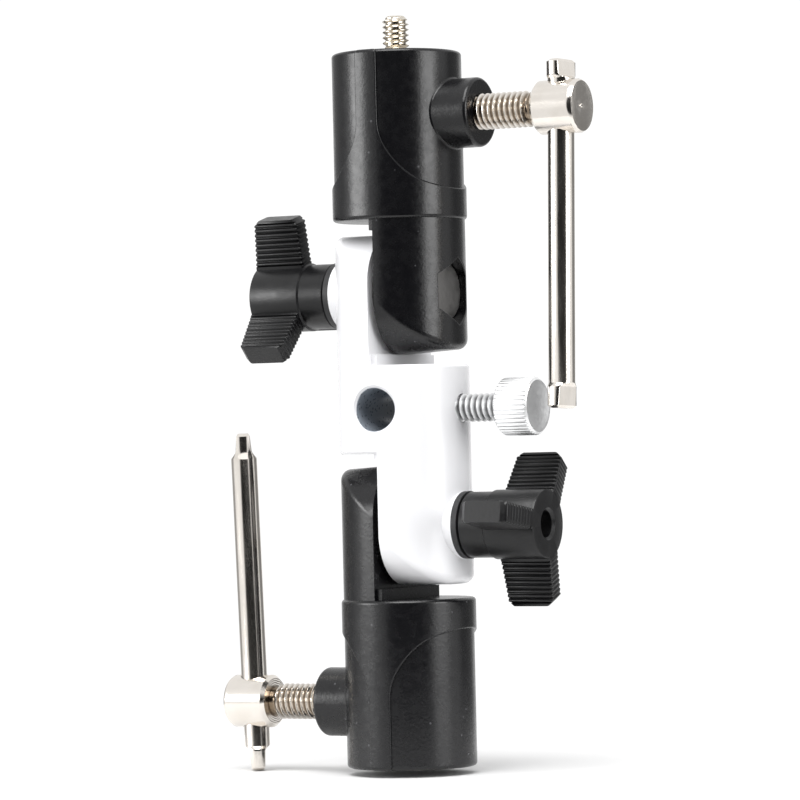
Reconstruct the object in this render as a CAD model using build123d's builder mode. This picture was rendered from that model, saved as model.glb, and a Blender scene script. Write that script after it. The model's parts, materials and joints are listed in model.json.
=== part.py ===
"""Umbrella swivel bracket: two black socket castings on a white block, clamped by winged knobs.

The origin is the centre of the lower socket's mouth. +Z runs up through the bracket, the pivot
bolts and all the clamp screws lie along X, and the umbrella's hole lies along Y. Millimetres.
"""

from build123d import *
import os

os.makedirs("parts", exist_ok=True)

# Sockets: the lower one, and the same casting upside down on top
body_radius = 16.0
panel_radius = 15.45
rib_half_width = 2.8
socket_length = 40.0
rib_straight = 16.5
panel_height = 33.3
bore_radius = 8.0
bore_depth = 34.0
edge_round = 0.9
panel_round = 0.3
foot_round = 0.5
rim_chamfer = 0.6

# Clamp bosses and T screws, across each socket
screw_height = 15.2
boss_radius = 8.25
boss_reach = 22.5
screw_radius = 4.3
screw_neck_radius = 3.5
screw_neck_length = 1.6
screw_length = 29.3
head_radius = 6.35
head_length = 11.2
bar_offset = 5.6
bar_radius = 3.15
bar_length = 81.2
swage_length = 4.8
swage_thickness = 3.8
swage_width = 7.0
running_gap = 0.06

upper_head_x = 37.8
lower_head_x = -37.3
upper_screw_turn = -2.6
lower_screw_turn = 2.8
upper_bar_low_end = -70.3
lower_bar_low_end = -16.4
upper_swage_turn = -16.0
lower_swage_turn = 30.0

# Half tongues and their pivots
pivot_rise = 17.2
mating_gap = 0.8
socket_tongue_radius = 15.45
socket_tongue_end = 14.5
socket_tongue_draft = 3.5
block_radius = 15.7
block_tongue_end = 13.9
tongue_corner = 12.5
tongue_edge = 2.2
step_height = 2.6
step_reach = 0.65
step_half_length = 14.4
block_length = 20.9
disc_radius = 13.2
disc_half = 0.75

# M8 pivot bolts, washers and knobs
bolt_radius = 4.0
bolt_hole_radius = 4.1
bolt_head_flats = 13.4
bolt_head_height = 5.3
pocket_flats = 13.8
pocket_floor = 7.0
bolt_end = 33.6
seat_radius = 8.0
seat_reach = 15.8
washer_radius = 8.0
washer_thickness = 1.4
knob_start = 17.3
knob_length = 20.2
collar_radius = 7.8
collar_edge = 0.4
hub_radius = 8.2
wing_radius = 20.0
wing_thickness = 5.0
wing_start = 7.1
wing_end_hub = 20.2
wing_end_tip = 18.8
wing_edge = 0.7
insert_radius = 6.0
insert_length = 12.0
knob_bore_length = 17.0
knob_mouth_radius = 3.2
knob_mouth_edge = 0.6
lower_wing_angle = 80.0
upper_wing_angle = 15.0

# Umbrella hole and its thumbscrew
umbrella_radius = 5.1
umbrella_edge = 0.7
thumb_radius = 3.35
thumb_tip = 5.7
thumb_head_start = 26.8
thumb_head_end = 35.7
thumb_head_radius = 6.85
thumb_edge = 0.7

# Spigot in the upper socket: 5/8 inch body, 1/4 inch stud on top, 3/8 inch stud below
spigot_radius = 7.9375
spigot_top_drop = 0.5
spigot_body = 23.4
groove_radius = 6.2
groove_half_width = 3.5
groove_slope = 1.2
small_stud_radius = 3.175
small_neck_radius = 2.7
small_neck_length = 1.6
small_stud_length = 9.4
large_stud_radius = 4.7625
stud_chamfer = 0.6

# Heights that follow from the sizes above
lower_pivot = socket_length + pivot_rise
block_bottom = lower_pivot + pivot_rise
block_top = block_bottom + block_length
umbrella_height = (block_bottom + block_top) / 2
upper_pivot = block_top + pivot_rise
total_height = upper_pivot + pivot_rise + socket_length
upper_screw_height = total_height - screw_height


def side_plane(side, reach, height):
    """A plane facing out along +X (side 1) or -X (side -1), with its own y axis along +Z."""
    return Plane(origin=(side * reach, 0, height), x_dir=(0, side, 0), z_dir=(side, 0, 0))


def tongue(side, pivot, way, radius, reach, draft):
    """Half tongue on one side of the mating plane, reaching past its pivot along way * Z."""
    root = pivot - way * (pivot_rise + 1)
    end = pivot + way * reach
    with BuildPart() as blank:
        with BuildSketch(side_plane(side, mating_gap, 0)) as outline:
            with Locations((0, (root + end) / 2)):
                Rectangle(2 * radius, abs(end - root))
            corners = outline.vertices().group_by(Axis.Y)[-1 if way > 0 else 0]
            fillet(corners, tongue_corner)
        extrude(amount=body_radius, taper=draft)
        with Locations((0, 0, (root + end) / 2)):
            Cylinder(radius, abs(end - root), rotation=(0, 0, 90 + 90 * side), mode=Mode.INTERSECT)
        outer = blank.faces().filter_by(GeomType.CYLINDER).sort_by(Axis.X)[0 if side < 0 else -1]
        tip = outer.edges().group_by(Axis.Z)[-1 if way > 0 else 0]
        fillet(tip, tongue_edge)
    return blank.part


def root_step(side, ledge, way):
    """Low step along a ledge, filling the gap beside a tongue's root."""
    with BuildPart() as step:
        with Locations((side * (mating_gap - step_reach) / 2, 0, ledge + way * step_height / 2)):
            Box(mating_gap + step_reach, 2 * step_half_length, step_height)
    return step.part


# Socket casting, drawn as the lower socket: boss and tongue on the -X side
with BuildPart() as lower_socket:
    Cylinder(body_radius, socket_length, align=(Align.CENTER, Align.CENTER, Align.MIN))
    with BuildSketch(Plane.XZ) as panels:
        with BuildLine():
            flare = Spline(
                (rib_half_width, rib_straight),
                (5.4, 24.6),
                (10.4, 30.2),
                (body_radius + 1, panel_height),
                tangents=((0, 1), (1, 0.35)),
            )
            Line(flare @ 1, (body_radius + 1, -1))
            Line((body_radius + 1, -1), (rib_half_width, -1))
            Line((rib_half_width, -1), flare @ 0)
        make_face()
        mirror(about=Plane.YZ)
    extrude(amount=2 * body_radius, both=True, mode=Mode.SUBTRACT)
    Cylinder(panel_radius, socket_length, align=(Align.CENTER, Align.CENTER, Align.MIN))
    raised = lower_socket.edges().filter_by(
        lambda edge: Vector(edge.center().X, edge.center().Y).length > panel_radius + 0.1
        and edge_round < edge.center().Z < socket_length - edge_round
    )
    fillet(raised, panel_round)
    fillet(lower_socket.faces().sort_by(Axis.Z)[-1].edges(), edge_round)
    fillet(lower_socket.faces().sort_by(Axis.Z)[0].edges(), edge_round)
    with BuildSketch(side_plane(-1, bore_radius, screw_height)):
        Circle(boss_radius)
    extrude(amount=boss_reach - bore_radius)
    boss_end = lower_socket.faces().sort_by(Axis.X)[0]
    fillet(boss_end.edges(), edge_round)
    boss_foot = lower_socket.edges().filter_by(
        lambda edge: -body_radius < edge.center().X < -bore_radius
        and abs(edge.center().Z - screw_height) < 0.1
    )
    fillet(boss_foot, foot_round)
    add(tongue(-1, lower_pivot, 1, socket_tongue_radius, socket_tongue_end, socket_tongue_draft))
    add(root_step(-1, socket_length, 1))
    with BuildSketch(Plane.XY):
        Circle(bore_radius)
    extrude(amount=bore_depth, mode=Mode.SUBTRACT)
    with BuildSketch(side_plane(-1, 0, screw_height)):
        Circle(screw_radius + running_gap)
    extrude(amount=boss_reach, mode=Mode.SUBTRACT)
    with BuildSketch(side_plane(-1, 0, lower_pivot)):
        Circle(bolt_hole_radius)
    extrude(amount=body_radius, mode=Mode.SUBTRACT)
    with BuildSketch(side_plane(-1, pocket_floor, lower_pivot)):
        RegularPolygon(pocket_flats / 2, 6, major_radius=False, rotation=90)
    extrude(amount=body_radius, mode=Mode.SUBTRACT)
    pocket_rim = lower_socket.edges().filter_by(
        lambda edge: edge.center().X < -(pocket_floor + body_radius) / 2
        and (edge.center() - Vector(edge.center().X, 0, lower_pivot)).length < pocket_flats * 0.6
    )
    fillet(pocket_rim, panel_round)
lower_socket.part.label = "lower_socket"

with BuildPart() as upper_socket:
    with Locations((0, 0, total_height)):
        add(lower_socket.part, rotation=(0, 180, 0))
upper_socket.part.label = "upper_socket"

# Centre block: a full round between two ledges, a half tongue up on -X and one down on +X
with BuildPart() as center_block:
    with Locations((0, 0, umbrella_height)):
        Cylinder(block_radius, block_length, rotation=(0, 0, 45))
    chamfer(center_block.edges(), rim_chamfer)
    with BuildSketch(Plane.XZ):
        with Locations((0, umbrella_height)):
            Circle(umbrella_radius)
    extrude(amount=body_radius, both=True, mode=Mode.SUBTRACT)
    mouths = center_block.edges().filter_by(GeomType.LINE, reverse=True).filter_by(
        lambda edge: abs(edge.center().Z - umbrella_height) < 0.1 and abs(edge.center().Y) > body_radius / 2
    )
    chamfer(mouths, umbrella_edge)
    for side, pivot, ledge, way in ((-1, upper_pivot, block_top, 1), (1, lower_pivot, block_bottom, -1)):
        add(tongue(side, pivot, way, block_radius, block_tongue_end, 0))
        add(root_step(side, ledge, way))
        with BuildSketch(side_plane(side, mating_gap, pivot)):
            Circle(seat_radius)
        extrude(amount=seat_reach - mating_gap)
        with BuildSketch(side_plane(side, 0, pivot)):
            Circle(bolt_hole_radius)
        extrude(amount=body_radius, mode=Mode.SUBTRACT)
    with BuildSketch(side_plane(1, 0, umbrella_height)):
        Circle(thumb_radius + running_gap)
    extrude(amount=body_radius, mode=Mode.SUBTRACT)
center_block.part.label = "center_block"


def friction_disc(height):
    """Thin ring between two half tongues."""
    with BuildPart() as disc:
        with BuildSketch(Plane.YZ.offset(-disc_half)):
            with Locations((0, height)):
                Circle(disc_radius)
                Circle(bolt_hole_radius, mode=Mode.SUBTRACT)
        extrude(amount=2 * disc_half)
    return disc.part


def pivot_bolt(side, height):
    """Hexagon bolt with its head in the pocket on one side and its end in the knob opposite."""
    with BuildPart() as bolt:
        with BuildSketch(side_plane(side, pocket_floor, height)):
            RegularPolygon(bolt_head_flats / 2, 6, major_radius=False, rotation=90)
        extrude(amount=bolt_head_height)
        with BuildSketch(side_plane(-side, -pocket_floor, height)):
            Circle(bolt_radius)
        extrude(amount=pocket_floor + bolt_end)
        end = bolt.faces().sort_by(Axis.X)[-1 if side < 0 else 0]
        chamfer(end.edges(), stud_chamfer)
    return bolt.part


def washer(side, height):
    """Plain washer on the white tongue's seat."""
    with BuildPart() as ring:
        with BuildSketch(side_plane(side, seat_reach, height)):
            Circle(washer_radius)
            Circle(bolt_radius + running_gap, mode=Mode.SUBTRACT)
        extrude(amount=washer_thickness)
    return ring.part


# Winged knob along +Z, its inner face at zero and one wing along +X
with BuildPart() as knob:
    with BuildSketch(Plane.XZ):
        with BuildLine():
            Polyline(
                (0, 0),
                (collar_radius - collar_edge, 0),
                (collar_radius, collar_edge),
                (collar_radius, wing_start - collar_edge),
                (hub_radius, wing_start),
                (hub_radius, knob_length),
                (0, knob_length),
                close=True,
            )
        make_face()
    revolve(axis=Axis.Z)
    for turn in (0, 120, 240):
        with BuildSketch(Plane.XZ.rotated((0, 0, turn))):
            with BuildLine():
                Polyline(
                    (0, wing_start),
                    (wing_radius, wing_start),
                    (wing_radius, wing_end_tip),
                    (hub_radius, wing_end_hub),
                    (0, wing_end_hub),
                    close=True,
                )
            make_face()
        extrude(amount=wing_thickness / 2, both=True)
    tips = knob.faces().filter_by(lambda face: face.center().cross(Vector(0, 0, 1)).length > wing_radius - 1)
    chamfer(tips.edges(), wing_edge)
    with BuildSketch(Plane.XY):
        Circle(insert_radius)
    extrude(amount=insert_length, mode=Mode.SUBTRACT)
    with BuildSketch(Plane.XY):
        Circle(bolt_radius + running_gap)
    extrude(amount=knob_bore_length, mode=Mode.SUBTRACT)
    with BuildSketch(Plane.XY):
        Circle(knob_mouth_radius)
    extrude(amount=knob_length, mode=Mode.SUBTRACT)
    mouth = knob.faces().sort_by(Axis.Z)[-1].edges().filter_by(GeomType.CIRCLE).sort_by(SortBy.RADIUS)[0]
    chamfer(mouth, knob_mouth_edge)

with BuildPart() as knob_insert:
    with BuildSketch(Plane.XY):
        Circle(insert_radius)
        Circle(bolt_radius + running_gap, mode=Mode.SUBTRACT)
    extrude(amount=insert_length)

# Clamp screw along +Z: the head's inner face at zero, the thread below it, the cross hole along Y
with BuildPart() as clamp_screw:
    Cylinder(screw_radius, screw_length, align=(Align.CENTER, Align.CENTER, Align.MAX))
    chamfer(clamp_screw.faces().sort_by(Axis.Z)[0].edges(), stud_chamfer)
    with BuildSketch(Plane.XY):
        Circle(screw_radius + 1)
        Circle(screw_neck_radius, mode=Mode.SUBTRACT)
    extrude(amount=-screw_neck_length, mode=Mode.SUBTRACT)
    Cylinder(head_radius, head_length, align=(Align.CENTER, Align.CENTER, Align.MIN))
    chamfer(clamp_screw.faces().sort_by(Axis.Z)[-1].edges(), stud_chamfer)
    with BuildSketch(Plane.XZ):
        with Locations((0, bar_offset)):
            Circle(bar_radius + running_gap)
    extrude(amount=head_radius, both=True, mode=Mode.SUBTRACT)


def clamp_bar(swage_turn):
    """Sliding bar along +Z from zero, each end pressed flat across a wider line."""
    with BuildPart() as bar:
        with Locations((0, 0, bar_length / 2)):
            Cylinder(bar_radius, bar_length - 2 * swage_length)
        for height in (swage_length / 2, bar_length - swage_length / 2):
            with BuildPart(mode=Mode.PRIVATE) as swage:
                with Locations(Location((0, 0, height), (0, 0, swage_turn))):
                    Box(swage_thickness, swage_width, swage_length + 0.4)
            add(swage.part)
        chamfer(bar.faces().sort_by(Axis.Z)[-1].edges(), stud_chamfer)
        chamfer(bar.faces().sort_by(Axis.Z)[0].edges(), stud_chamfer)
    return bar.part


# Umbrella thumbscrew along +X
with BuildPart() as umbrella_thumbscrew:
    with BuildSketch(side_plane(1, thumb_tip, umbrella_height)):
        Circle(thumb_radius)
    extrude(amount=thumb_head_start - thumb_tip)
    chamfer(umbrella_thumbscrew.faces().sort_by(Axis.X)[0].edges(), stud_chamfer)
    with BuildSketch(side_plane(1, thumb_head_start, umbrella_height)):
        Circle(thumb_head_radius)
    extrude(amount=thumb_head_end - thumb_head_start)
    rims = umbrella_thumbscrew.edges().filter_by(GeomType.CIRCLE).filter_by(
        lambda edge: edge.radius > thumb_radius + 1
    )
    chamfer(rims, thumb_edge)
umbrella_thumbscrew.part.label = "umbrella_thumbscrew"

# Spigot, turned in one piece
with BuildPart() as spigot:
    top = total_height - spigot_top_drop
    bottom = top - spigot_body
    low_end = total_height - bore_depth + 0.1
    high_end = total_height - spigot_top_drop + small_stud_length
    with BuildSketch(Plane.XZ):
        with BuildLine():
            Polyline(
                (0, low_end),
                (large_stud_radius - stud_chamfer, low_end),
                (large_stud_radius, low_end + stud_chamfer),
                (large_stud_radius, bottom),
                (spigot_radius - stud_chamfer, bottom),
                (spigot_radius, bottom + stud_chamfer),
                (spigot_radius, upper_screw_height - groove_half_width - groove_slope),
                (groove_radius, upper_screw_height - groove_half_width),
                (groove_radius, upper_screw_height + groove_half_width),
                (spigot_radius, upper_screw_height + groove_half_width + groove_slope),
                (spigot_radius, top - stud_chamfer),
                (spigot_radius - stud_chamfer, top),
                (small_neck_radius, top),
                (small_neck_radius, top + small_neck_length),
                (small_stud_radius, top + small_neck_length + stud_chamfer),
                (small_stud_radius, high_end - stud_chamfer),
                (small_stud_radius - stud_chamfer, high_end),
                (0, high_end),
                close=True,
            )
        make_face()
    revolve(axis=Axis.Z)
spigot.part.label = "spigot"

export_step(lower_socket.part, "parts/lower_socket.step")
export_step(upper_socket.part, "parts/upper_socket.step")
export_step(center_block.part, "parts/center_block.step")
export_step(umbrella_thumbscrew.part, "parts/umbrella_thumbscrew.step")
export_step(spigot.part, "parts/spigot.step")


def finish(name, part):
    """Labels a piece and writes its file."""
    part.label = name
    export_step(part, f"parts/{name}.step")


# Pivots: the lower bolt's head is on -X with its knob on +X, and the upper one is turned round
pivots = (
    ("lower", 1, lower_pivot, 90 + lower_wing_angle),
    ("upper", -1, upper_pivot, 90 - upper_wing_angle),
)
for name, side, height, wing_turn in pivots:
    finish(f"{name}_friction_disc", friction_disc(height))
    finish(f"{name}_pivot_bolt", pivot_bolt(-side, height))
    finish(f"{name}_washer", washer(side, height))
    with BuildPart(side_plane(side, knob_start, height)) as placed_knob:
        add(knob.part, rotation=(0, 0, wing_turn))
    finish(f"{name}_knob", placed_knob.part)
    with BuildPart(side_plane(side, knob_start, height)) as placed_insert:
        add(knob_insert.part)
    finish(f"{name}_knob_insert", placed_insert.part)

# Clamps: the screw's head reaches out along its side, and its bar crosses the head
clamps = (
    ("lower", -1, -lower_head_x, screw_height, lower_screw_turn, lower_bar_low_end, lower_swage_turn),
    ("upper", 1, upper_head_x, upper_screw_height, upper_screw_turn, upper_bar_low_end, upper_swage_turn),
)
for name, side, reach, height, turn, low_end, swage_turn in clamps:
    with BuildPart(side_plane(side, reach, height)) as placed_screw:
        add(clamp_screw.part, rotation=(0, 0, side * turn))
    finish(f"{name}_clamp_screw", placed_screw.part)
    bar_centre = Location((side * (reach + bar_offset), 0, height), (turn, 0, 0))
    with BuildPart() as placed_bar:
        with Locations(bar_centre * Location((0, 0, low_end))):
            add(clamp_bar(swage_turn))
    finish(f"{name}_clamp_bar", placed_bar.part)
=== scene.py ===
"""Umbrella swivel bracket: meshes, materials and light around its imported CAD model.

Metres, in the CAD's frame: the origin is the centre of the lower socket's mouth and +Z is up.
"""

import json
from math import cos, pi, radians, sin, tau

import bmesh
import bpy
from mathutils import Matrix, Vector


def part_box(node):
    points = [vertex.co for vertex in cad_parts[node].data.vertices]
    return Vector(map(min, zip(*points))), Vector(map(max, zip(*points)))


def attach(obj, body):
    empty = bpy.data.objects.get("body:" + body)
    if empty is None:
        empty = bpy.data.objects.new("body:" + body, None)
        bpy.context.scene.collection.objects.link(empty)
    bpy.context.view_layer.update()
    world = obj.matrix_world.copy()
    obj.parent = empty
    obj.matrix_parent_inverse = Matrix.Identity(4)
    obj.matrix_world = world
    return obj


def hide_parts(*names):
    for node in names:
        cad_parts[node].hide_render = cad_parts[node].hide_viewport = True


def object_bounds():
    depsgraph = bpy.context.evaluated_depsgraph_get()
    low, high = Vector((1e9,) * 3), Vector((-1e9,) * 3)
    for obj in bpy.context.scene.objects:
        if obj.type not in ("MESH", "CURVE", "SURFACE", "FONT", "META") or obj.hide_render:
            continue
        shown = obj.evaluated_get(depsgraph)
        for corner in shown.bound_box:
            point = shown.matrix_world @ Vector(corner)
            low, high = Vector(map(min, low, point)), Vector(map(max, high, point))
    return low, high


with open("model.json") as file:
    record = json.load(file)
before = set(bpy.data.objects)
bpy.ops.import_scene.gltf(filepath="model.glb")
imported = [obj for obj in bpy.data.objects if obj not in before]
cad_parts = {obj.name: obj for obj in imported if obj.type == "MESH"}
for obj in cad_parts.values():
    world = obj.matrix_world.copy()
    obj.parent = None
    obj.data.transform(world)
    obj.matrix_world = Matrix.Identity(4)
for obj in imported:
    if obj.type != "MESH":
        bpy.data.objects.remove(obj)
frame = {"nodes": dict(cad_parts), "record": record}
cad_low, cad_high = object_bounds()

MM = 0.001
MERGE = 1e-6
TURNED = 96

# Thread forms: major radius and pitch, with the depth of a rolled 60 degree thread
DEPTH_PER_PITCH = 0.58
CLAMP_THREAD = (4.3 * MM, 1.44 * MM)
THUMB_THREAD = (3.35 * MM, 1.5 * MM)
QUARTER_INCH = (3.175 * MM, 1.27 * MM)
THREE_EIGHTHS = (4.7625 * MM, 1.5875 * MM)
BOLT_THREAD = (4.0 * MM, 1.25 * MM)
TIP_CHAMFER = 0.4 * MM

# T screws and their bars
HEAD_RADIUS = 6.35 * MM
HEAD_LENGTH = 11.2 * MM
HEAD_EDGE = 0.8 * MM
HEAD_STEPS = 16
NECK_LENGTH = 1.6 * MM
CROSS_HOLE_OFFSET = 5.6 * MM
CROSS_HOLE_RADIUS = 3.25 * MM
NUB_RADIUS = 0.5 * MM
BAR_RADIUS = 3.15 * MM
SHORT_SWAGE = (4.6 * MM, 1.0 * MM)
LONG_SWAGE = (5.9 * MM, 1.2 * MM)
TAPERED_SWAGE = (6.2 * MM, 2.4 * MM)
SWAGE_HALF_THICKNESS = 1.9 * MM
SWAGE_HALF_WIDTH = 3.7 * MM
SWAGE_FLARE = 1.2
BAR_EDGE = 0.6 * MM
BAR_END_GAP = 0.15 * MM

# Pivot bolts
BOLT_HEAD_HALF_FLATS = 6.7 * MM
BOLT_HEAD_HEIGHT = 5.3 * MM
BOLT_THREAD_LENGTH = 18 * MM

# Winged knobs
COLLAR_RADIUS = 7.8 * MM
HUB_RADIUS = 8.2 * MM
HUB_EDGE = 0.5 * MM
INSERT_RADIUS = 6.0 * MM
INSERT_LENGTH = 12 * MM
BOLT_HOLE_RADIUS = 4.06 * MM
BOLT_HOLE_LENGTH = 17 * MM
MOUTH_RADIUS = 3.2 * MM
MOUTH_EDGE = 0.65 * MM
WING_START = 7.1 * MM
WING_ROOT = 7.0 * MM
WING_RADIUS = 19.8 * MM
WING_TIP_DROP = 1.4 * MM
WING_HALF_THICKNESS = 2.5 * MM
WING_EDGE = 0.5 * MM
WING_CORNER = 1.2 * MM
RIB_START = 8.5 * MM
RIB_END = 19.1 * MM
RIB_COUNT = 9
RIB_DEPTH = 0.55 * MM

# Umbrella hole and its thumbscrew
UMBRELLA_HOLE_RADIUS = 5.1 * MM
THUMB_HEAD_LENGTH = 8.9 * MM
THUMB_HEAD_RADIUS = 6.85 * MM
THUMB_EDGE = 0.7 * MM
THUMB_DISH = 0.35 * MM
KNURL_COUNT = 38
KNURL_DEPTH = 0.32 * MM

# Spigot
SPIGOT_RADIUS = 7.9375 * MM
SPIGOT_BODY = 23.4 * MM
GROOVE_RADIUS = 6.2 * MM
GROOVE_HALF_WIDTH = 3.5 * MM
GROOVE_SLOPE = 1.2 * MM
STUD_LENGTH = 9.4 * MM
STUD_NECK = 1.6 * MM
STUD_CHAMFER = 0.6 * MM


def spot(node):
    """Lowest corner, highest corner and centre of a CAD node."""
    low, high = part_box(node)
    low, high = Vector(low), Vector(high)
    return low, high, (low + high) / 2


def length_of(node):
    """Length along X of a CAD node."""
    low, high, _ = spot(node)
    return high.x - low.x


def across(side, origin, turn=0.0):
    """Matrix that lays a piece's own +Z out along X on one side, then turns it about itself."""
    axes = Matrix(((0, 0, side), (side, 0, 0), (0, 1, 0))).to_4x4()
    return Matrix.Translation(origin) @ axes @ Matrix.Rotation(turn, 4, "Z")


# Mesh helpers
def skin(rings, closed=False):
    """Bmesh of quads between neighbouring rings of points, and from the last to the first if closed."""
    mesh = bmesh.new()
    made = [[mesh.verts.new(point) for point in ring] for ring in rings]
    pairs = list(zip(made, made[1:]))
    if closed:
        pairs.append((made[-1], made[0]))
    for low, high in pairs:
        for i in range(len(low) - 1):
            mesh.faces.new((low[i], low[i + 1], high[i + 1], high[i]))
    return mesh


def turned(profile, segments=TURNED, shape=None):
    """Rings of a turned outline of (radius, height) points. shape(angle, radius, height) can cut it."""
    rings = []
    for radius, height in profile:
        ring = []
        for i in range(segments + 1):
            angle = tau * i / segments
            reach = shape(angle, radius, height) if shape else radius
            ring.append((reach * cos(angle), reach * sin(angle), height))
        rings.append(ring)
    return rings


def threaded(low, high, thread, segments=TURNED):
    """Rings of a right-handed thread whose turns run out at both ends onto its root."""
    rise = ((0.0, 0), (0.1, 0), (0.22, 0.3), (0.4, 0.85), (0.46, 1))
    fall = ((0.54, 1), (0.6, 0.85), (0.78, 0.3), (0.9, 0))
    major, pitch = thread
    depth = DEPTH_PER_PITCH * pitch
    turns = int((high - low) / pitch) + 2
    rings = []
    for turn in range(-1, turns):
        for along, share in rise + fall:
            ring = []
            for i in range(segments + 1):
                angle = tau * i / segments
                height = low + pitch * (turn + along + i / segments)
                runout = min(max(min(height - low, high - height) / pitch, 0), 1)
                radius = major - depth * (1 - share * min(1, 2 * runout))
                height = min(max(height, low), high)
                ring.append((radius * cos(angle), radius * sin(angle), height))
            rings.append(ring)
    return rings


def root(thread):
    """Radius at the bottom of a thread."""
    return thread[0] - DEPTH_PER_PITCH * thread[1]


def solid(name, rings, closed=False, sharp=35):
    """Object from rings, with clean shared points and outward faces."""
    shape = skin(rings, closed)
    bmesh.ops.remove_doubles(shape, verts=shape.verts, dist=MERGE)
    bmesh.ops.dissolve_degenerate(shape, dist=MERGE / 10, edges=shape.edges)
    bmesh.ops.recalc_face_normals(shape, faces=shape.faces)
    data = bpy.data.meshes.new(name)
    shape.to_mesh(data)
    shape.free()
    piece = bpy.data.objects.new(name, data)
    bpy.context.scene.collection.objects.link(piece)
    smooth(piece, sharp)
    return piece


def smooth(piece, sharp=35):
    """Smooth shading, broken along edges sharper than an angle in degrees."""
    for face in piece.data.polygons:
        face.use_smooth = True
    piece.data.set_sharp_from_angle(angle=radians(sharp))


def cut(piece, tool, operation="DIFFERENCE"):
    """Takes a tool object away from a piece, or adds it to it, and drops the tool."""
    step = piece.modifiers.new("cut", "BOOLEAN")
    step.operation, step.solver, step.object = operation, "EXACT", tool
    bpy.context.view_layer.update()
    graph = bpy.context.evaluated_depsgraph_get()
    data = bpy.data.meshes.new_from_object(piece.evaluated_get(graph))
    piece.modifiers.clear()
    piece.data = data
    bpy.data.objects.remove(tool)
    smooth(piece)


def stand_in(piece, node, place, finish=None):
    """Puts a finished mesh in a CAD node's place: on its body, hiding it, with its finish."""
    piece.matrix_world = place
    piece.data.materials.clear()
    piece.data.materials.append(finishes[finish or slot_of[node]])
    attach(piece, body_of[node])
    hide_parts(node)


# Material helpers
class Finish:
    """A material's node tree around one Principled shader."""

    def __init__(self, name, color, roughness, metallic=0.0, **settings):
        self.material = bpy.data.materials.new(name)
        self.material.use_nodes = True
        self.tree = self.material.node_tree
        self.shader = self.tree.nodes["Principled BSDF"]
        self.color, self.roughness = color, roughness
        self.shader.inputs["Base Color"].default_value = (*color, 1)
        self.shader.inputs["Roughness"].default_value = roughness
        self.shader.inputs["Metallic"].default_value = metallic
        for socket, value in settings.items():
            self.shader.inputs[socket.replace("_", " ")].default_value = value
        self.normal = None

    def node(self, kind, inputs=None, **settings):
        """New node, its inputs given as values or as sockets to link."""
        made = self.tree.nodes.new(kind)
        for key, value in settings.items():
            setattr(made, key, value)
        for socket, value in (inputs or {}).items():
            if isinstance(value, bpy.types.NodeSocket):
                self.tree.links.new(value, made.inputs[socket])
            else:
                made.inputs[socket].default_value = value
        return made

    def place(self, scale=(1, 1, 1)):
        """Object coordinates, stretched."""
        coordinates = self.node("ShaderNodeTexCoord").outputs["Object"]
        return self.node("ShaderNodeMapping", {"Vector": coordinates, "Scale": scale}).outputs[0]

    def noise(self, scale, detail=4.0, rough=0.55, stretch=(1, 1, 1)):
        """Noise in object space, its scale per metre."""
        inputs = {"Vector": self.place(stretch), "Scale": scale, "Detail": detail, "Roughness": rough}
        return self.node("ShaderNodeTexNoise", inputs).outputs["Fac"]

    def rings(self, scale, distortion=0.0):
        """Turning marks: rings round the piece's own Z, on the faces turned across it."""
        inputs = {"Vector": self.place(), "Scale": scale, "Distortion": distortion, "Detail": 2.0}
        made = self.node("ShaderNodeTexWave", inputs, wave_type="RINGS", rings_direction="Z")
        facing = self.node("ShaderNodeTexCoord").outputs["Normal"]
        along = self.node("ShaderNodeSeparateXYZ", {"Vector": facing}).outputs["Z"]
        level = self.node("ShaderNodeMath", {0: along}, operation="ABSOLUTE").outputs[0]
        mask = self.ramp(level, 0.8, 0.95, 0, 1)
        return self.product(made.outputs["Fac"], mask)

    def thread_root_shade(self, thread, end):
        """Mask for painted shade at a thread's root: one at the root, none at its crest, and none beyond its
        end along the piece's own Z.
        """
        flat = self.place((1, 1, 0))
        reach = self.node("ShaderNodeVectorMath", {0: flat}, operation="LENGTH").outputs["Value"]
        low = self.ramp(reach, root(thread), thread[0] - 0.1 * thread[1], 1, 0)
        along = self.node("ShaderNodeSeparateXYZ", {"Vector": self.place()}).outputs["Z"]
        before = self.ramp(along, end, end + 0.1 * MM, 1, 0)
        return self.product(low, before)

    def specks(self, scale, size):
        """Small scattered dots, one where a cell's centre is near."""
        cells = self.node("ShaderNodeTexVoronoi", {"Vector": self.place(), "Scale": scale})
        return self.ramp(cells.outputs["Distance"], size, size * 1.6, 1.0, 0.0)

    def product(self, first, second):
        """Two values multiplied."""
        return self.node("ShaderNodeMath", {0: first, 1: second}, operation="MULTIPLY").outputs[0]

    def ramp(self, value, low, high, to_low, to_high):
        """A value remapped from one range to another and clamped."""
        inputs = {"Value": value, "From Min": low, "From Max": high, "To Min": to_low, "To Max": to_high}
        return self.node("ShaderNodeMapRange", inputs).outputs["Result"]

    def tint(self, value, other):
        """Base colour that goes to another as a value rises."""
        mix = self.node("ShaderNodeMix", data_type="RGBA")
        self.tree.links.new(value, mix.inputs["Factor"])
        base = self.shader.inputs["Base Color"]
        if base.is_linked:
            self.tree.links.new(base.links[0].from_socket, mix.inputs["A"])
        else:
            mix.inputs["A"].default_value = (*self.color, 1)
        mix.inputs["B"].default_value = (*other, 1)
        self.tree.links.new(mix.outputs["Result"], base)

    def gloss(self, value, low, high, spread):
        """Roughness that varies about its own value."""
        made = self.ramp(value, low, high, self.roughness - spread, self.roughness + spread)
        self.tree.links.new(made, self.shader.inputs["Roughness"])

    def bump(self, value, height, strength=1.0):
        """One more layer of relief, its height in metres."""
        inputs = {"Height": value, "Distance": height, "Strength": strength}
        if self.normal:
            inputs["Normal"] = self.normal
        self.normal = self.node("ShaderNodeBump", inputs).outputs["Normal"]
        self.tree.links.new(self.normal, self.shader.inputs["Normal"])


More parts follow.
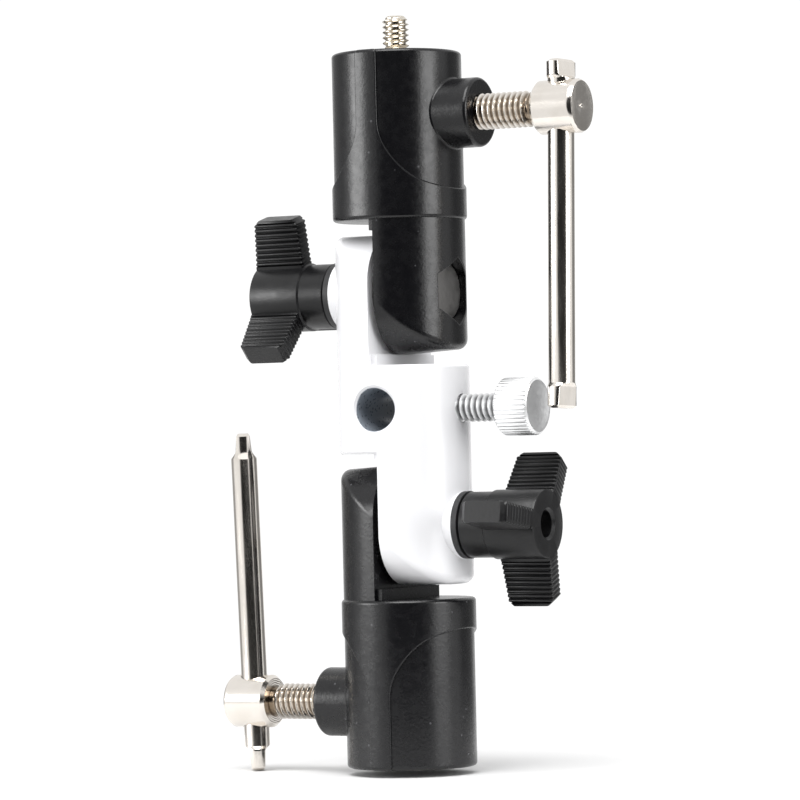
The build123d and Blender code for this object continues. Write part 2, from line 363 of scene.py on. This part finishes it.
def black_paint():
    """Satin black powder paint: orange peel, a fine grain and a few pale specks."""
    paint = Finish("black_paint", (0.0035, 0.0035, 0.0043), 0.26, Specular_IOR_Level=0.45)
    paint.gloss(paint.noise(500, detail=4), 0.3, 0.7, 0.05)
    paint.tint(paint.specks(260, 0.05), (0.07, 0.07, 0.075))
    paint.bump(paint.noise(1500, detail=3), 0.045 * MM, 0.6)
    paint.bump(paint.noise(3200, detail=2), 0.012 * MM, 0.5)
    return paint.material


def white_paint():
    """Glossy white paint with a little orange peel, and a darker blue-grey wall, flecked darker, inside the
    umbrella hole.
    """
    paint = Finish("white_paint", (0.78, 0.78, 0.797), 0.22, Specular_IOR_Level=0.5)
    # The umbrella hole's wall is coloured darker blue-grey, with darker flecks.
    hole = spot("umbrella_thumbscrew")[2].z
    flat = {"Vector": paint.place(), "Location": (0, 0, -hole), "Scale": (1, 0, 1)}
    from_axis = paint.node("ShaderNodeMapping", flat).outputs[0]
    radius = paint.node("ShaderNodeVectorMath", {0: from_axis}, operation="LENGTH").outputs["Value"]
    wall = paint.ramp(radius, UMBRELLA_HOLE_RADIUS + 0.05 * MM, UMBRELLA_HOLE_RADIUS + 0.15 * MM, 1, 0)
    paint.tint(wall, (0.26, 0.29, 0.33))
    paint.tint(paint.product(wall, paint.specks(900, 0.2)), (0.12, 0.135, 0.16))
    paint.gloss(paint.noise(300, detail=3), 0.3, 0.7, 0.04)
    paint.bump(paint.noise(520, detail=2), 0.025 * MM, 0.3)
    return paint.material


def black_plastic():
    """Moulded black plastic with a spark-eroded satin."""
    plastic = Finish("black_plastic", (0.0035, 0.0035, 0.004), 0.34, Specular_IOR_Level=0.4)
    plastic.gloss(plastic.noise(500, detail=4), 0.3, 0.7, 0.06)
    plastic.bump(plastic.noise(1500, detail=4), 0.04 * MM, 0.6)
    return plastic.material


def nickel_plate(name="nickel_plate"):
    """Warm nickel plate over turned steel."""
    nickel = Finish(name, (0.83, 0.785, 0.73), 0.16, 1.0)
    nickel.gloss(nickel.noise(900, stretch=(1, 1, 0.08)), 0.3, 0.7, 0.06)
    nickel.tint(nickel.ramp(nickel.noise(160), 0.45, 0.75, 0, 0.5), (0.70, 0.65, 0.58))
    nickel.bump(nickel.rings(620, 4.0), 0.03 * MM, 0.8)
    nickel.bump(nickel.noise(1500, stretch=(1, 1, 0.05)), 0.01 * MM, 0.3)
    return nickel


def bright_aluminium():
    """Bright turned aluminium, its thread darkened to grey towards the root as painted shade."""
    metal = Finish("bright_aluminium", (0.9, 0.905, 0.91), 0.38, 1.0)
    metal.gloss(metal.noise(1100), 0.3, 0.7, 0.06)
    metal.bump(metal.rings(600, 1.5), 0.012 * MM, 0.6)
    thread_end = length_of("umbrella_thumbscrew") - THUMB_HEAD_LENGTH
    # Painted shade: the thread's roots are tinted dark grey.
    metal.tint(metal.thread_root_shade(THUMB_THREAD, thread_end), (0.22, 0.22, 0.225))
    return metal.material


def plated_thread():
    """Nickel plate on a T screw, its thread darkened to brown at the root as painted shade."""
    nickel = nickel_plate("plated_thread")
    thread_end = length_of("lower_clamp_screw") - HEAD_LENGTH
    # Painted shade: the thread's roots are tinted dark brown.
    nickel.tint(nickel.thread_root_shade(CLAMP_THREAD, thread_end), (0.24, 0.19, 0.14))
    return nickel.material


def steel(name, color, roughness):
    """Plain steel with turning marks and a slight mottle."""
    metal = Finish(name, color, roughness, 1.0)
    metal.gloss(metal.noise(700), 0.3, 0.7, 0.07)
    metal.tint(metal.ramp(metal.noise(240), 0.45, 0.8, 0, 0.6), tuple(0.7 * c for c in color))
    metal.bump(metal.rings(600, 1.0), 0.02 * MM, 0.6)
    return metal.material


def dull(name, color, roughness):
    """Fibre or nylon with a matt, slightly uneven face."""
    plain = Finish(name, color, roughness)
    plain.gloss(plain.noise(600), 0.3, 0.7, 0.08)
    plain.bump(plain.noise(1600), 0.03 * MM, 0.5)
    return plain.material


finishes = {
    "black_paint": black_paint(),
    "white_paint": white_paint(),
    "black_plastic": black_plastic(),
    "nickel_plate": nickel_plate().material,
    "plated_thread": plated_thread(),
    "bright_aluminium": bright_aluminium(),
    "spigot_steel": steel("spigot_steel", (0.70, 0.65, 0.57), 0.2),
    "insert_steel": steel("insert_steel", (0.42, 0.41, 0.40), 0.35),
    "bolt_steel": steel("bolt_steel", (0.22, 0.215, 0.21), 0.5),
    "friction_fibre": dull("friction_fibre", (0.03, 0.028, 0.026), 0.85),
    "black_nylon": dull("black_nylon", (0.016, 0.016, 0.017), 0.5),
}

bodies = frame["record"]["behaviour"]["bodies"]
body_of = {node: body for body, nodes in bodies.items() for node in nodes}
slot_of = {name: node.material_slots[0].name for name, node in frame["nodes"].items()}
for name, node in frame["nodes"].items():
    node.material_slots[0].material = finishes[slot_of[name]]


# Pieces, each along its own +Z
def clamp_screw(length):
    """T screw from its tip: thread, neck, and a cross-drilled head turned flat with a centre nub."""
    neck = length - HEAD_LENGTH - NECK_LENGTH
    core = root(CLAMP_THREAD)
    side_start = length - HEAD_LENGTH + HEAD_EDGE
    side = HEAD_LENGTH - 2 * HEAD_EDGE
    rings = turned(((0, 0), (core - TIP_CHAMFER, 0), (core, TIP_CHAMFER)))
    rings += threaded(TIP_CHAMFER, neck, CLAMP_THREAD)
    rings += turned((
        (core, length - HEAD_LENGTH),
        (HEAD_RADIUS - HEAD_EDGE, length - HEAD_LENGTH),
        *((HEAD_RADIUS, side_start + side * step / HEAD_STEPS) for step in range(HEAD_STEPS + 1)),
        (HEAD_RADIUS - 0.5 * HEAD_EDGE, length - 0.15 * HEAD_EDGE),
        (HEAD_RADIUS - HEAD_EDGE, length),
        (3 * NUB_RADIUS, length - 0.1 * MM),
        (NUB_RADIUS, length - 0.25 * MM),
        (0.6 * NUB_RADIUS, length - 0.02 * MM),
        (0, length),
    ))
    screw = solid("screw", rings)
    reach = 2 * HEAD_RADIUS
    outline = ((0, -reach), (CROSS_HOLE_RADIUS, -reach), (CROSS_HOLE_RADIUS, reach), (0, reach))
    drill = solid("drill", turned(outline))
    height = length - HEAD_LENGTH + CROSS_HOLE_OFFSET
    drill.matrix_world = Matrix.Translation((0, 0, height)) @ Matrix.Rotation(pi / 2, 4, "X")
    cut(screw, drill)
    return screw


def clamp_bar(length, swage_turn, low_end, high_end):
    """Sliding bar with both ends pressed flat, bulging across, and chamfered."""

    def ring(height, size, flat):
        """Cross-section that goes from round to two flats with bulged sides."""
        thick = BAR_RADIUS + flat * (SWAGE_HALF_THICKNESS - BAR_RADIUS)
        wide = BAR_RADIUS + flat * (SWAGE_HALF_WIDTH - BAR_RADIUS)
        points = []
        for i in range(TURNED + 1):
            angle = tau * i / TURNED
            x = min(max(BAR_RADIUS * cos(angle), -thick), thick)
            y = wide * sin(angle)
            points.append((
                size * (x * cos(swage_turn) - y * sin(swage_turn)),
                size * (x * sin(swage_turn) + y * cos(swage_turn)),
                height,
            ))
        return points

    def end(swage, shoulder):
        """Heights, sizes and flatness from the tip to the round shank."""
        shape = ((0, 1), (0.15, 0.97), (0.35, 0.85), (0.55, 0.62), (0.75, 0.32), (0.9, 0.1), (1, 0))
        return (
            (0, 0.76, SWAGE_FLARE),
            (BAR_EDGE, 1, SWAGE_FLARE),
            *((swage + (share - 1) * shoulder, 1, flat) for share, flat in shape),
        )

    rings = [[(0, 0, 0)] * (TURNED + 1)]
    rings += [ring(height, size, flat) for height, size, flat in end(*low_end)]
    rings += [ring(length - height, size, flat) for height, size, flat in reversed(end(*high_end))]
    rings.append([(0, 0, length)] * (TURNED + 1))
    return solid("bar", rings, sharp=28)


def thumbscrew(length):
    """Thumbscrew with a straight knurl between two chamfers and a dished, turned face."""
    start = length - THUMB_HEAD_LENGTH
    core = root(THUMB_THREAD)
    segments = KNURL_COUNT * 8

    def knurl(angle, radius, height):
        share = 0.5 + 0.5 * cos(KNURL_COUNT * angle)
        return min(radius, THUMB_HEAD_RADIUS - KNURL_DEPTH * share**2)

    rings = turned(((0, 0), (core - TIP_CHAMFER, 0), (core, TIP_CHAMFER)), segments)
    rings += threaded(TIP_CHAMFER, start - 0.3 * MM, THUMB_THREAD, segments)
    rings += turned(((core, start), (THUMB_HEAD_RADIUS - 1.6 * THUMB_EDGE, start)), segments)
    steps = 6
    shares = [i / steps for i in range(steps + 1)]
    rim = [(THUMB_HEAD_RADIUS - THUMB_EDGE * (1 - share), share * THUMB_EDGE) for share in shares]
    side = [(radius, start + height) for radius, height in rim]
    side += [(radius, length - height) for radius, height in reversed(rim)]
    rings += turned(side, segments, knurl)
    rings += turned((
        (THUMB_HEAD_RADIUS - 1.7 * THUMB_EDGE, length),
        (THUMB_HEAD_RADIUS - 2.4 * THUMB_EDGE, length - 0.5 * THUMB_DISH),
        (0.6 * MM, length - THUMB_DISH),
        (0, length - THUMB_DISH),
    ), segments)
    return solid("thumbscrew", rings, sharp=40)


def pivot_bolt(length):
    """Hexagon bolt with its head below zero and its threaded end above."""
    core = root(BOLT_THREAD)
    top = length - BOLT_HEAD_HEIGHT
    thread_start = top - BOLT_THREAD_LENGTH
    head_edge = 0.6 * MM
    flats = BOLT_HEAD_HALF_FLATS

    def hexagon(angle, radius, height):
        off = (angle % (pi / 3)) - pi / 6
        return min(radius, flats / cos(off))

    rings = turned((
        (0, -BOLT_HEAD_HEIGHT),
        (flats - 0.3 * MM, -BOLT_HEAD_HEIGHT),
        (flats, -BOLT_HEAD_HEIGHT + 0.12 * MM),
        (flats + 1.2 * MM, -BOLT_HEAD_HEIGHT + head_edge),
        (flats + 1.2 * MM, 0),
        (flats, 0),
    ), shape=hexagon)
    rings += turned(((BOLT_THREAD[0], 0), (BOLT_THREAD[0], thread_start), (core, thread_start + 0.5 * MM)))
    rings += threaded(thread_start + 0.5 * MM, top - 0.5 * MM, BOLT_THREAD)
    rings += turned(((core - 0.5 * MM, top), (0, top)))
    return solid("bolt", rings)


def wing(end_hub, turn):
    """One wing of a knob: ribs along its length, chamfered corners at its tip."""
    columns = []
    reach, steps = WING_RADIUS - WING_ROOT, 104
    for i in range(steps + 1):
        radius = WING_ROOT + reach * i / steps
        corner = max(0, radius - (WING_RADIUS - WING_CORNER))
        low = WING_START + corner
        slope = (radius - HUB_RADIUS) / (WING_RADIUS - HUB_RADIUS)
        high = end_hub - WING_TIP_DROP * max(0, slope) - corner
        ribs = 0.0
        if RIB_START <= radius <= RIB_END:
            phase = (radius - RIB_START) / (RIB_END - RIB_START) * RIB_COUNT
            ribs = RIB_DEPTH * (0.5 + 0.5 * cos(tau * phase)) ** 1.6
        columns.append((radius, low, high, WING_HALF_THICKNESS - ribs))
    rings = []
    for radius, low, high, half in columns:
        edge = min(WING_EDGE, half)
        outline = (
            (low, half - edge), (low + 0.3 * edge, half - 0.3 * edge), (low + edge, half),
            (high - edge, half), (high - 0.3 * edge, half - 0.3 * edge), (high, half - edge),
        )
        loop = [(radius, side, height) for height, side in outline]
        loop += [(radius, -side, height) for height, side in reversed(outline)]
        rings.append([*loop, loop[0]])
    centre = [(WING_ROOT, 0, (WING_START + end_hub) / 2)] * len(rings[0])
    tip = [(WING_RADIUS, 0, (columns[-1][1] + columns[-1][2]) / 2)] * len(rings[0])
    made = solid("wing", [centre, *rings, tip])
    made.data.transform(Matrix.Rotation(turn, 4, "Z"))
    return made


def knob(length, wing_turn):
    """Winged knob from its inner face, bored for the insert and the bolt."""
    profile = (
        (INSERT_RADIUS, 0),
        (COLLAR_RADIUS - HUB_EDGE, 0),
        (COLLAR_RADIUS, HUB_EDGE),
        (COLLAR_RADIUS, WING_START - (HUB_RADIUS - COLLAR_RADIUS)),
        (HUB_RADIUS, WING_START),
        (HUB_RADIUS, length - HUB_EDGE),
        (HUB_RADIUS - 0.3 * HUB_EDGE, length - 0.3 * HUB_EDGE),
        (HUB_RADIUS - HUB_EDGE, length),
        (MOUTH_RADIUS + MOUTH_EDGE, length),
        (MOUTH_RADIUS, length - MOUTH_EDGE),
        (MOUTH_RADIUS, BOLT_HOLE_LENGTH),
        (BOLT_HOLE_RADIUS, BOLT_HOLE_LENGTH),
        (BOLT_HOLE_RADIUS, INSERT_LENGTH),
        (INSERT_RADIUS, INSERT_LENGTH),
    )
    made = solid("knob", turned(profile), closed=True)
    for third in range(3):
        cut(made, wing(length, wing_turn + third * tau / 3), "UNION")
    return made


def spigot(low, high, groove):
    """Spigot along Z between two heights, with a turned groove and a threaded stud at each end."""
    top = high - STUD_LENGTH
    bottom = top - SPIGOT_BODY
    lower_core, upper_core = root(THREE_EIGHTHS), root(QUARTER_INCH)
    rings = turned(((0, low), (lower_core - STUD_CHAMFER, low), (lower_core, low + STUD_CHAMFER)))
    rings += threaded(low + STUD_CHAMFER, bottom - 0.4 * MM, THREE_EIGHTHS)
    rings += turned((
        (lower_core, bottom),
        (SPIGOT_RADIUS - STUD_CHAMFER, bottom),
        (SPIGOT_RADIUS, bottom + STUD_CHAMFER),
        (SPIGOT_RADIUS, groove - GROOVE_HALF_WIDTH - GROOVE_SLOPE),
        (GROOVE_RADIUS, groove - GROOVE_HALF_WIDTH),
        (GROOVE_RADIUS, groove + GROOVE_HALF_WIDTH),
        (SPIGOT_RADIUS, groove + GROOVE_HALF_WIDTH + GROOVE_SLOPE),
        (SPIGOT_RADIUS, top - STUD_CHAMFER),
        (SPIGOT_RADIUS - STUD_CHAMFER, top),
        (upper_core, top),
    ))
    rings += threaded(top + STUD_NECK, high - 0.7 * STUD_CHAMFER, QUARTER_INCH)
    rings += turned(((upper_core - 0.7 * STUD_CHAMFER, high), (0, high)))
    return solid("spigot", rings)


clamps = (
    ("lower", -1, radians(2.8), radians(30), LONG_SWAGE, TAPERED_SWAGE),
    ("upper", 1, radians(-2.6), radians(-16), LONG_SWAGE, SHORT_SWAGE),
)
for name, side, tilt, swage_turn, low_end, high_end in clamps:
    low, high, centre = spot(f"{name}_clamp_screw")
    tip = high.x if side < 0 else low.x
    screw = clamp_screw(high.x - low.x)
    screw.name = f"{name}_t_screw"
    stand_in(screw, f"{name}_clamp_screw", across(side, (tip, 0, centre.z), side * tilt), "plated_thread")
    low, high, centre = spot(f"{name}_clamp_bar")
    length = (high.z - low.z - 2 * BAR_EDGE * abs(sin(tilt))) / cos(tilt)
    bar = clamp_bar(length - 2 * BAR_END_GAP, swage_turn, low_end, high_end)
    bar.name = f"{name}_t_bar"
    place = Matrix.Translation(centre) @ Matrix.Rotation(tilt, 4, "X")
    stand_in(bar, f"{name}_clamp_bar", place @ Matrix.Translation((0, 0, BAR_END_GAP - length / 2)))

pivots = (("lower", 1, radians(170)), ("upper", -1, radians(75)))
for name, side, wing_turn in pivots:
    height = spot(f"{name}_washer")[2].z
    low, high, centre = spot(f"{name}_knob")
    inner = low.x if side > 0 else high.x
    grip = knob(high.x - low.x, wing_turn)
    grip.name = f"{name}_winged_knob"
    stand_in(grip, f"{name}_knob", across(side, (inner, 0, height)))
    low, high, centre = spot(f"{name}_pivot_bolt")
    under_head = side * BOLT_HEAD_HEIGHT + (low.x if side > 0 else high.x)
    bolt = pivot_bolt(high.x - low.x)
    bolt.name = f"{name}_hex_bolt"
    stand_in(bolt, f"{name}_pivot_bolt", across(side, (under_head, 0, height), pi / 6))

low, high, centre = spot("umbrella_thumbscrew")
thumb = thumbscrew(high.x - low.x)
thumb.name = "knurled_thumbscrew"
stand_in(thumb, "umbrella_thumbscrew", across(1, (low.x, 0, centre.z)))

low, high, centre = spot("spigot")
stud = spigot(0, high.z - low.z, spot("upper_clamp_screw")[2].z - low.z)
stud.name = "threaded_spigot"
stand_in(stud, "spigot", Matrix.Translation((0, 0, low.z)))


# Floor, world, lights and camera, the camera's place first since the room is laid out round it
FLOOR_RADIUS = 0.16
FLOOR_GAP = 0.2 * MM
CONE_EDGE = radians(5)
SOFTBOX_AIM = Vector((0, 0, 0.1))
LENS, SENSOR = 191.7, 36.0
CAMERA_DISTANCE = 1.0144
CAMERA_RISE = radians(-0.66)
CAMERA_ROLL = radians(1.32)
CAMERA_AIM_HEIGHT = 87.15 * MM
CAMERA_AIM_LEFT = 0.99 * MM
CAMERA_TURN = radians(28.43)
TO_CAMERA = Vector((sin(CAMERA_TURN), -cos(CAMERA_TURN), 0))
TO_RIGHT = Vector((cos(CAMERA_TURN), sin(CAMERA_TURN), 0))


def floor():
    """Plain pale round floor just below the lowest point."""
    level = cad_low.z - FLOOR_GAP
    ground = solid("floor", [[(0, 0, level)] * (TURNED + 1)] + turned(((FLOOR_RADIUS, level),)))
    pale = Finish("floor", (0.72, 0.72, 0.72), 0.9)
    pale.gloss(pale.noise(60), 0.3, 0.7, 0.1)
    ground.data.materials.append(pale.material)


def softbox(name, angle, distance, height, size, power):
    """Rectangular soft light, its angle measured from the camera's side towards the right."""
    data = bpy.data.lights.new(name, "AREA")
    data.shape, data.size, data.size_y, data.energy = "RECTANGLE", *size, power
    lamp = bpy.data.objects.new(name, data)
    lamp.location = distance * (cos(angle) * TO_CAMERA + sin(angle) * TO_RIGHT) + Vector((0, 0, height))
    lamp.rotation_mode = "QUATERNION"
    lamp.rotation_quaternion = (SOFTBOX_AIM - lamp.location).to_track_quat("-Z", "Y")
    bpy.context.scene.collection.objects.link(lamp)


def white_room(cones, bright, seen):
    """World that is white to the camera. As a light it is bright, but for dim cones towards given angles."""
    world = bpy.data.worlds.new("room")
    bpy.context.scene.world = world
    world.use_nodes = True
    nodes, links = world.node_tree.nodes, world.node_tree.links

    def ramp(value, from_min, from_max, to_min, to_max):
        made = nodes.new("ShaderNodeMapRange")
        links.new(value, made.inputs["Value"])
        made.inputs["From Min"].default_value, made.inputs["From Max"].default_value = from_min, from_max
        made.inputs["To Min"].default_value, made.inputs["To Max"].default_value = to_min, to_max
        return made

    rays = nodes.new("ShaderNodeLightPath").outputs["Is Camera Ray"]
    level = ramp(rays, 0, 1, bright, seen)
    generated = nodes.new("ShaderNodeTexCoord").outputs["Generated"]
    for angle, spread, dim in cones:
        facing = nodes.new("ShaderNodeVectorMath")
        facing.operation = "DOT_PRODUCT"
        facing.inputs[1].default_value = cos(angle) * TO_CAMERA + sin(angle) * TO_RIGHT
        links.new(generated, facing.inputs[0])
        shade = ramp(facing.outputs["Value"], cos(spread - CONE_EDGE), cos(spread + CONE_EDGE), dim, 1)
        product = nodes.new("ShaderNodeMath")
        product.operation = "MULTIPLY"
        previous = level.inputs["To Min"]
        links.new(shade.outputs["Result"], product.inputs[0])
        if previous.is_linked:
            links.new(previous.links[0].from_socket, product.inputs[1])
        else:
            product.inputs[1].default_value = previous.default_value
        links.new(product.outputs["Value"], previous)
    links.new(level.outputs["Result"], nodes["Background"].inputs["Strength"])
    nodes["Background"].inputs["Color"].default_value = (1, 1, 1, 1)


def camera():
    """Long lens, to the right of the front, almost level and slightly rolled."""
    back = TO_CAMERA * cos(CAMERA_RISE) + Vector((0, 0, sin(CAMERA_RISE)))
    up = back.cross(TO_RIGHT)
    aim = Vector((0, 0, CAMERA_AIM_HEIGHT)) - CAMERA_AIM_LEFT * TO_RIGHT
    rolled_right = TO_RIGHT * cos(CAMERA_ROLL) - up * sin(CAMERA_ROLL)
    rolled_up = TO_RIGHT * sin(CAMERA_ROLL) + up * cos(CAMERA_ROLL)
    place = Matrix((rolled_right, rolled_up, back)).transposed()
    data = bpy.data.cameras.new("camera")
    data.sensor_width, data.lens = SENSOR, LENS
    seer = bpy.data.objects.new("camera", data)
    seer.matrix_world = Matrix.Translation(aim + CAMERA_DISTANCE * back) @ place.to_4x4()
    bpy.context.scene.collection.objects.link(seer)
    bpy.context.scene.camera = seer


floor()

# Each dim cone's angle from the camera's side, its half angle and its brightness against the rest
dim_cones = (
    (0, radians(40), 0.02),
    (radians(123), radians(24), 0.25),
    (radians(-132), radians(24), 0.4),
)
white_room(dim_cones, 0.95, 1.05)
softbox("left_box", radians(-76), 1.4, 0.32, (0.72, 0.5), 9.5)
softbox("right_box", radians(58), 1.4, 0.34, (0.7, 0.64), 7.5)
softbox("top_box", radians(-8), 0.85, 1.5, (1.2, 1.2), 30)
camera()
bpy.context.scene.view_settings.view_transform = "Standard"
